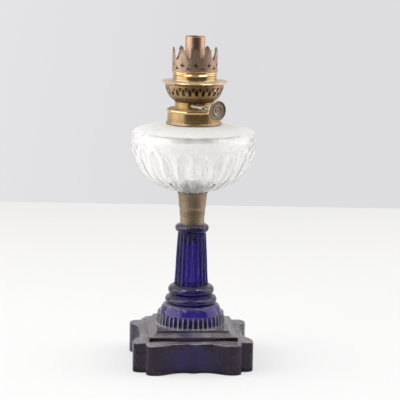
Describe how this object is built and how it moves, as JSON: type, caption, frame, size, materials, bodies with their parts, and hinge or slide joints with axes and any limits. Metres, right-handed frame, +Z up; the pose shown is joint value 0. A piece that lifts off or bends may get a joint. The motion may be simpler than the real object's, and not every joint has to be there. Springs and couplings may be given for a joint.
{
  "type": "oil lamp",
  "caption": "Kerosene table lamp with a pressed glass foot, clear glass font and round-wick burner whose knob raises the wick and whose gallery lifts off.",
  "frame": {"origin": "middle of the foot's underside, on the lamp's axis", "axes": "+Z up along the lamp's axis, -Y towards the front, the knob at the front right"},
  "size_m": [0.1506, 0.1506, 0.3997],
  "materials": {
    "cobalt_glass": "thick pressed cobalt blue glass, glossy",
    "clear_glass": "clear pressed glass with a slight grey-cream cast",
    "plaster": "set plaster, matt",
    "dull_brass": "dull grey-brown aged brass",
    "collar_brass": "aged gold brass, satin",
    "burner_brass": "spun sheet brass, aged, satin",
    "tube_brass": "heat-tarnished brass, brown-pink",
    "crown_brass": "heat-tarnished sheet brass, pink-grey",
    "knob_brass": "stamped brass, worn",
    "spindle_steel": "drawn steel, dull",
    "washer_leather": "oiled leather",
    "wick_cotton": "woven cotton"
  },
  "bodies": {
    "lamp": {"glass_foot": "cobalt_glass", "foot_plaster": "plaster", "stem_ferrule": "dull_brass", "connector_rivet": "dull_brass", "font_cup": "dull_brass", "font_plaster": "plaster", "glass_font": "clear_glass", "collar_plaster": "plaster", "font_collar": "collar_brass"},
    "burner": {"burner_washer": "washer_leather", "thread_ring": "burner_brass", "base_plate": "burner_brass", "burner_drum": "burner_brass", "winder_box": "dull_brass", "spindle_sleeve": "burner_brass", "outer_wick_tube": "tube_brass", "inner_air_tube": "tube_brass"},
    "winder": {"spindle": "spindle_steel", "wick_wheels": "spindle_steel", "winder_knob": "knob_brass"},
    "wick": {"wick": "wick_cotton"},
    "gallery": {"air_basket": "burner_brass", "draught_sleeve": "burner_brass", "gallery_clips": "dull_brass", "gallery_dish": "burner_brass", "chimney_crown": "crown_brass"}
  },
  "joints": [
    {"name": "burner_lift", "type": "slide", "parent": "lamp", "child": "burner", "axis": [0, 0, 1], "range_m": [0, 0.04]},
    {"name": "knob_turn", "type": "hinge", "parent": "burner", "child": "winder", "pos_m": [-0.01258, -0.00817, 0.31775], "axis": [0.5446, -0.8387, 0], "range_deg": [-171, 114]},
    {"name": "wick_rise", "type": "slide", "parent": "burner", "child": "wick", "axis": [0, 0, 1], "range_m": [-0.015, 0.01]},
    {"name": "gallery_lift", "type": "slide", "parent": "burner", "child": "gallery", "axis": [0, 0, 1], "range_m": [0, 0.085]}
  ],
  "couplings": [
    {"joint": "wick_rise", "follows": "knob_turn", "m_per_rad": 0.005}
  ]
}
